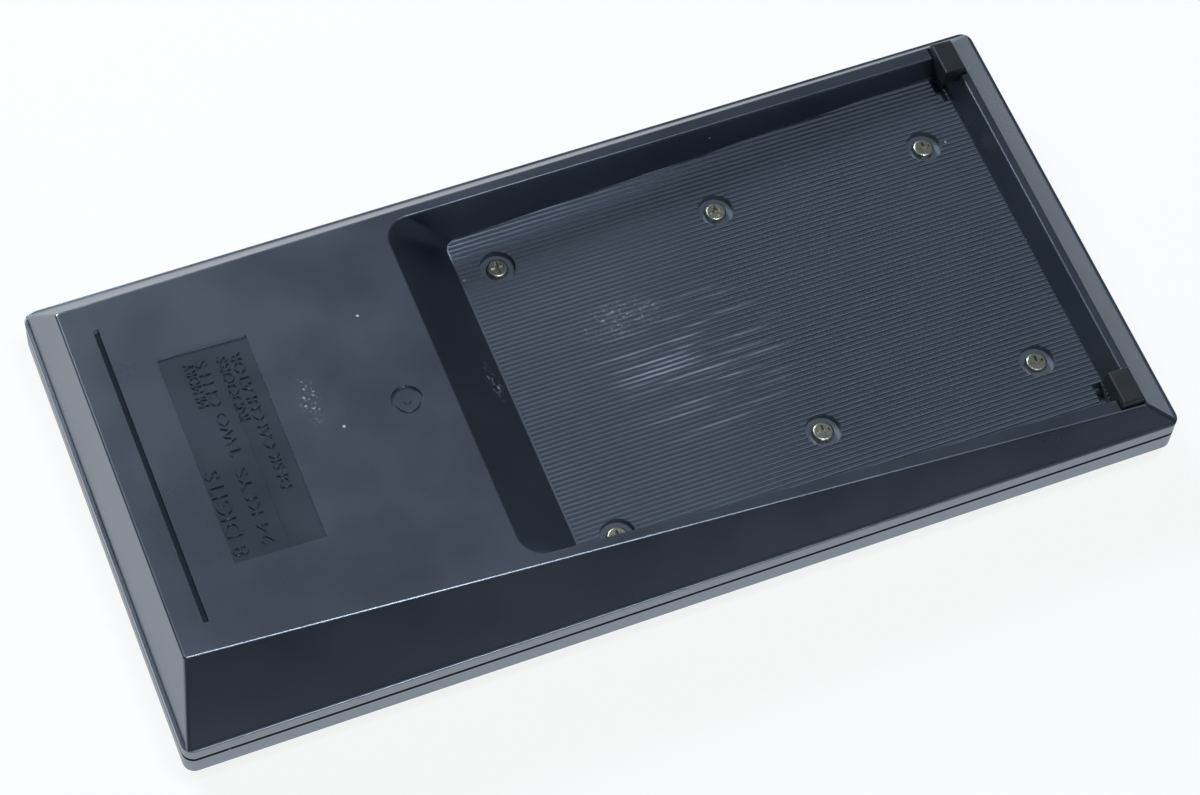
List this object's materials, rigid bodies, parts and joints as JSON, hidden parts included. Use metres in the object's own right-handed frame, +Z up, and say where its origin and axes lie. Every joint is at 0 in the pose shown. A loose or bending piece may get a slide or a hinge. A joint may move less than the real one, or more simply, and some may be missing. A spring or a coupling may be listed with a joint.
{
  "type": "desk calculator",
  "caption": "Wedge-shaped battery desk calculator in black plastic, with a ribbed recess under its raised back, rubber feet, press keys and a tilted display window.",
  "frame": {"origin": "middle of the case's outline, on the plane of the front rim that it lies on", "axes": "+X along the case from its thick end to its thin end, +Z up out of its back (the face points down), +Y across the case"},
  "size_m": [0.172, 0.0842, 0.0251],
  "materials": {
    "case_plastic": "fine-textured moulded black",
    "trim_metal": "dark brushed",
    "window_plastic": "smoked and polished",
    "lcd_glass": "grey-green polished",
    "strip_rubber": "matt",
    "board_laminate": "varnished",
    "ribbon_film": "satin",
    "chip_plastic": "matt",
    "capacitor_metal": "satin",
    "resistor_body": "lacquered",
    "mat_rubber": "matt",
    "cell_jacket": "gloss print",
    "tray_plastic": "matt",
    "contact_metal": "nickel plate",
    "knob_plastic": "satin",
    "foot_rubber": "matt",
    "screw_metal": "yellow zinc plate",
    "key_red": "satin",
    "key_pale": "satin",
    "key_dark": "satin"
  },
  "bodies": {
    "case": {"rear_cover": "case_plastic", "front_cover": "case_plastic", "trim_plate": "trim_metal", "display_window": "window_plastic", "lcd_panel": "lcd_glass", "contact_strips": "strip_rubber", "display_board": "board_laminate", "main_board": "board_laminate", "ribbon_cable": "ribbon_film", "calculator_chip": "chip_plastic", "capacitors": "capacitor_metal", "resistors": "resistor_body", "key_mat": "mat_rubber", "battery_cell_first": "cell_jacket", "battery_cell_second": "cell_jacket", "battery_tray": "tray_plastic", "battery_link_contact": "contact_metal", "battery_negative_contact": "contact_metal", "battery_positive_contact": "contact_metal", "power_switch_body": "chip_plastic", "rubber_foot_left": "foot_rubber", "rubber_foot_right": "foot_rubber", "case_screws": "screw_metal", "tray_screws": "screw_metal"},
    "root_cap": {"key_root": "key_dark"},
    "memory_clear_cap": {"key_memory_clear": "key_dark"},
    "memory_recall_cap": {"key_memory_recall": "key_dark"},
    "memory_plus_cap": {"key_memory_plus": "key_dark"},
    "divide_cap": {"key_divide": "key_dark"},
    "percent_cap": {"key_percent": "key_dark"},
    "seven_cap": {"key_seven": "key_pale"},
    "eight_cap": {"key_eight": "key_pale"},
    "nine_cap": {"key_nine": "key_pale"},
    "multiply_cap": {"key_multiply": "key_dark"},
    "sign_cap": {"key_sign": "key_dark"},
    "four_cap": {"key_four": "key_pale"},
    "five_cap": {"key_five": "key_pale"},
    "six_cap": {"key_six": "key_pale"},
    "minus_cap": {"key_minus": "key_dark"},
    "clear_cap": {"key_clear": "key_red"},
    "one_cap": {"key_one": "key_pale"},
    "two_cap": {"key_two": "key_pale"},
    "three_cap": {"key_three": "key_pale"},
    "plus_cap": {"key_plus": "key_dark"},
    "all_clear_cap": {"key_all_clear": "key_red"},
    "zero_cap": {"key_zero": "key_pale"},
    "point_cap": {"key_point": "key_pale"},
    "equals_cap": {"key_equals": "key_dark"},
    "switch_slider": {"power_switch_knob": "knob_plastic"}
  },
  "joints": [
    {"name": "press_root", "type": "slide", "parent": "case", "child": "root_cap", "axis": [0, 0, 1], "range_m": [0, 0.0013], "stiffness_N_per_m": 400, "springref_m": -0.0008, "deforming": ["key_mat"]},
    {"name": "press_memory_clear", "type": "slide", "parent": "case", "child": "memory_clear_cap", "axis": [0, 0, 1], "range_m": [0, 0.0013], "stiffness_N_per_m": 400, "springref_m": -0.0008, "deforming": ["key_mat"]},
    {"name": "press_memory_recall", "type": "slide", "parent": "case", "child": "memory_recall_cap", "axis": [0, 0, 1], "range_m": [0, 0.0013], "stiffness_N_per_m": 400, "springref_m": -0.0008, "deforming": ["key_mat"]},
    {"name": "press_memory_plus", "type": "slide", "parent": "case", "child": "memory_plus_cap", "axis": [0, 0, 1], "range_m": [0, 0.0013], "stiffness_N_per_m": 400, "springref_m": -0.0008, "deforming": ["key_mat"]},
    {"name": "press_divide", "type": "slide", "parent": "case", "child": "divide_cap", "axis": [0, 0, 1], "range_m": [0, 0.0013], "stiffness_N_per_m": 400, "springref_m": -0.0008, "deforming": ["key_mat"]},
    {"name": "press_percent", "type": "slide", "parent": "case", "child": "percent_cap", "axis": [0, 0, 1], "range_m": [0, 0.0013], "stiffness_N_per_m": 400, "springref_m": -0.0008, "deforming": ["key_mat"]},
    {"name": "press_seven", "type": "slide", "parent": "case", "child": "seven_cap", "axis": [0, 0, 1], "range_m": [0, 0.0013], "stiffness_N_per_m": 400, "springref_m": -0.0008, "deforming": ["key_mat"]},
    {"name": "press_eight", "type": "slide", "parent": "case", "child": "eight_cap", "axis": [0, 0, 1], "range_m": [0, 0.0013], "stiffness_N_per_m": 400, "springref_m": -0.0008, "deforming": ["key_mat"]},
    {"name": "press_nine", "type": "slide", "parent": "case", "child": "nine_cap", "axis": [0, 0, 1], "range_m": [0, 0.0013], "stiffness_N_per_m": 400, "springref_m": -0.0008, "deforming": ["key_mat"]},
    {"name": "press_multiply", "type": "slide", "parent": "case", "child": "multiply_cap", "axis": [0, 0, 1], "range_m": [0, 0.0013], "stiffness_N_per_m": 400, "springref_m": -0.0008, "deforming": ["key_mat"]},
    {"name": "press_sign", "type": "slide", "parent": "case", "child": "sign_cap", "axis": [0, 0, 1], "range_m": [0, 0.0013], "stiffness_N_per_m": 400, "springref_m": -0.0008, "deforming": ["key_mat"]},
    {"name": "press_four", "type": "slide", "parent": "case", "child": "four_cap", "axis": [0, 0, 1], "range_m": [0, 0.0013], "stiffness_N_per_m": 400, "springref_m": -0.0008, "deforming": ["key_mat"]},
    {"name": "press_five", "type": "slide", "parent": "case", "child": "five_cap", "axis": [0, 0, 1], "range_m": [0, 0.0013], "stiffness_N_per_m": 400, "springref_m": -0.0008, "deforming": ["key_mat"]},
    {"name": "press_six", "type": "slide", "parent": "case", "child": "six_cap", "axis": [0, 0, 1], "range_m": [0, 0.0013], "stiffness_N_per_m": 400, "springref_m": -0.0008, "deforming": ["key_mat"]},
    {"name": "press_minus", "type": "slide", "parent": "case", "child": "minus_cap", "axis": [0, 0, 1], "range_m": [0, 0.0013], "stiffness_N_per_m": 400, "springref_m": -0.0008, "deforming": ["key_mat"]},
    {"name": "press_clear", "type": "slide", "parent": "case", "child": "clear_cap", "axis": [0, 0, 1], "range_m": [0, 0.0013], "stiffness_N_per_m": 400, "springref_m": -0.0008, "deforming": ["key_mat"]},
    {"name": "press_one", "type": "slide", "parent": "case", "child": "one_cap", "axis": [0, 0, 1], "range_m": [0, 0.0013], "stiffness_N_per_m": 400, "springref_m": -0.0008, "deforming": ["key_mat"]},
    {"name": "press_two", "type": "slide", "parent": "case", "child": "two_cap", "axis": [0, 0, 1], "range_m": [0, 0.0013], "stiffness_N_per_m": 400, "springref_m": -0.0008, "deforming": ["key_mat"]},
    {"name": "press_three", "type": "slide", "parent": "case", "child": "three_cap", "axis": [0, 0, 1], "range_m": [0, 0.0013], "stiffness_N_per_m": 400, "springref_m": -0.0008, "deforming": ["key_mat"]},
    {"name": "press_plus", "type": "slide", "parent": "case", "child": "plus_cap", "axis": [0, 0, 1], "range_m": [0, 0.0013], "stiffness_N_per_m": 400, "springref_m": -0.0008, "deforming": ["key_mat"]},
    {"name": "press_all_clear", "type": "slide", "parent": "case", "child": "all_clear_cap", "axis": [0, 0, 1], "range_m": [0, 0.0013], "stiffness_N_per_m": 400, "springref_m": -0.0008, "deforming": ["key_mat"]},
    {"name": "press_zero", "type": "slide", "parent": "case", "child": "zero_cap", "axis": [0, 0, 1], "range_m": [0, 0.0013], "stiffness_N_per_m": 400, "springref_m": -0.0008, "deforming": ["key_mat"]},
    {"name": "press_point", "type": "slide", "parent": "case", "child": "point_cap", "axis": [0, 0, 1], "range_m": [0, 0.0013], "stiffness_N_per_m": 400, "springref_m": -0.0008, "deforming": ["key_mat"]},
    {"name": "press_equals", "type": "slide", "parent": "case", "child": "equals_cap", "axis": [0, 0, 1], "range_m": [0, 0.0013], "stiffness_N_per_m": 400, "springref_m": -0.0008, "deforming": ["key_mat"]},
    {"name": "power_slide", "type": "slide", "parent": "case", "child": "switch_slider", "axis": [0, 1, 0], "range_m": [0, 0.005]}
  ]
}
